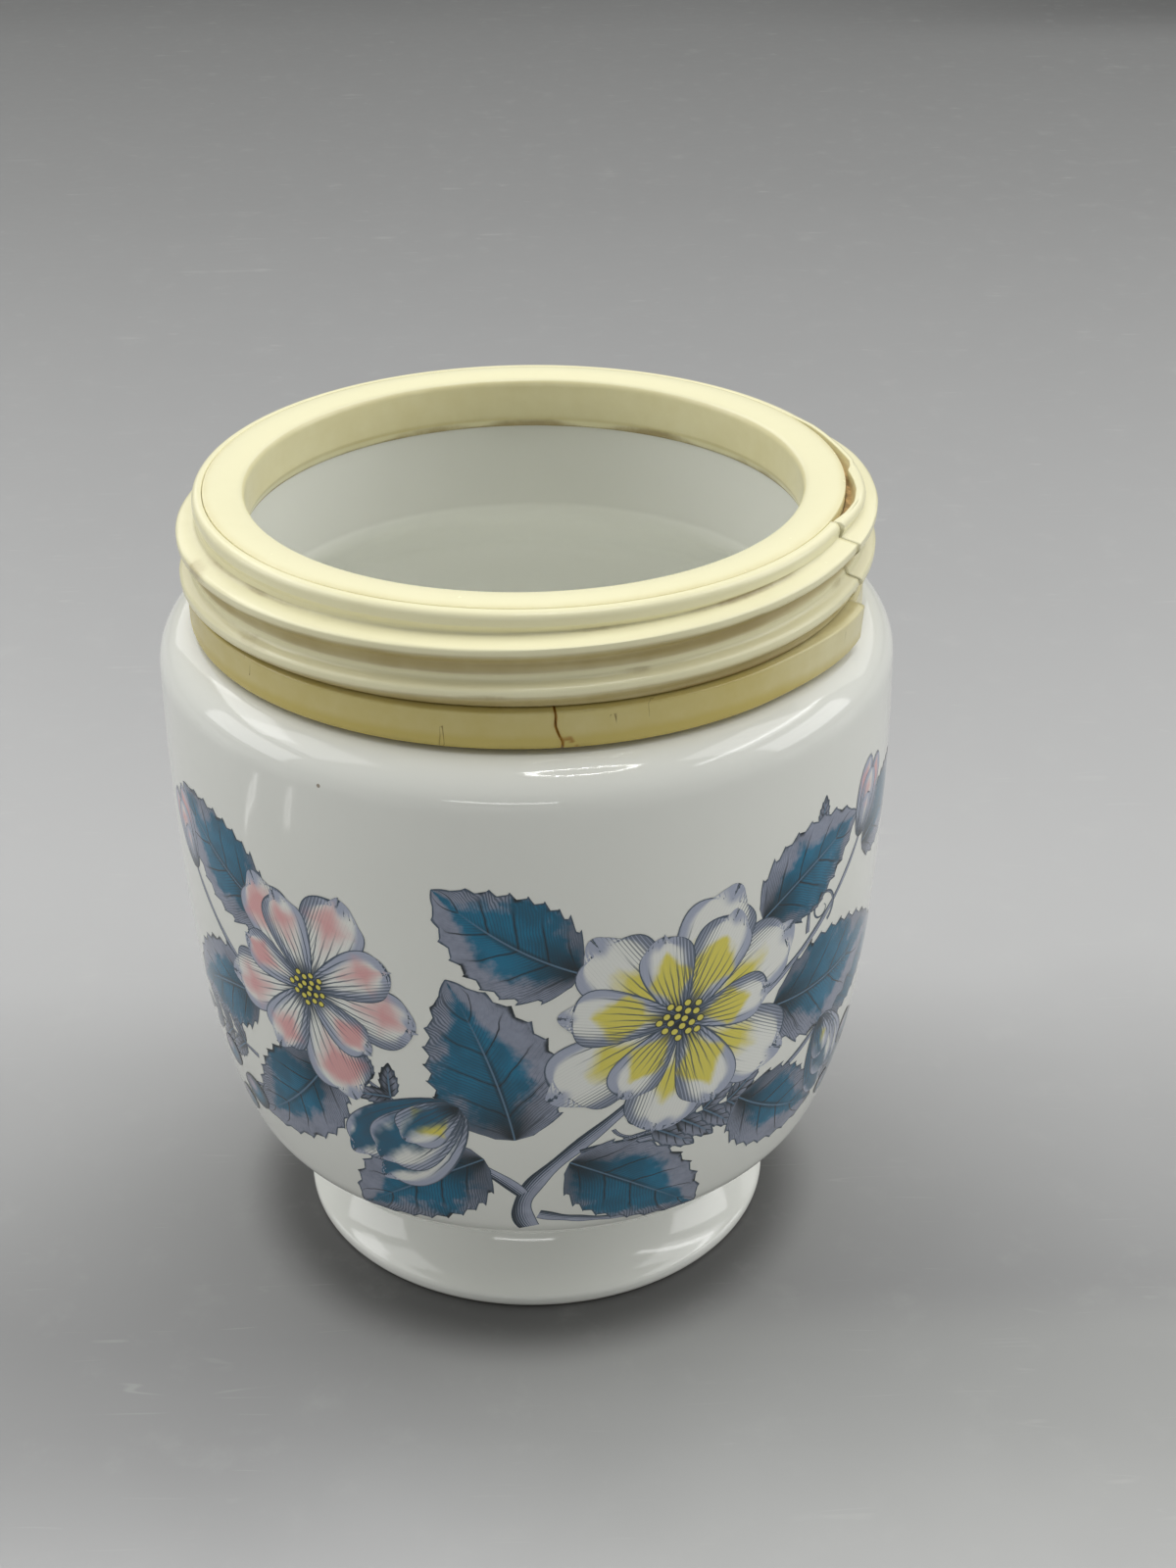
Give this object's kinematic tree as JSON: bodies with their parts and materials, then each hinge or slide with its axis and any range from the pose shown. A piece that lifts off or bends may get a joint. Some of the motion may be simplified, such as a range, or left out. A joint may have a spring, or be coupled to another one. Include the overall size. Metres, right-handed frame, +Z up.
{
  "type": "egg coddler",
  "caption": "Round porcelain coddling pot on a flared foot, open at the top, with a screw-threaded plastic collar cemented on its neck.",
  "frame": {"origin": "centre of the foot's standing face, at the bottom of the pot", "axes": "+Z up along the pot's axis towards its mouth; -Y towards the viewer of the picture"},
  "size_m": [0.067, 0.067, 0.0764],
  "materials": {
    "porcelain": "gloss",
    "collar_top": "satin",
    "collar_shell": "satin",
    "cement": "matte"
  },
  "bodies": {
    "root": {"cup": "porcelain", "rim_cap": "collar_top", "thread_sleeve": "collar_shell", "cement_bed": "cement"}
  },
  "joints": []
}
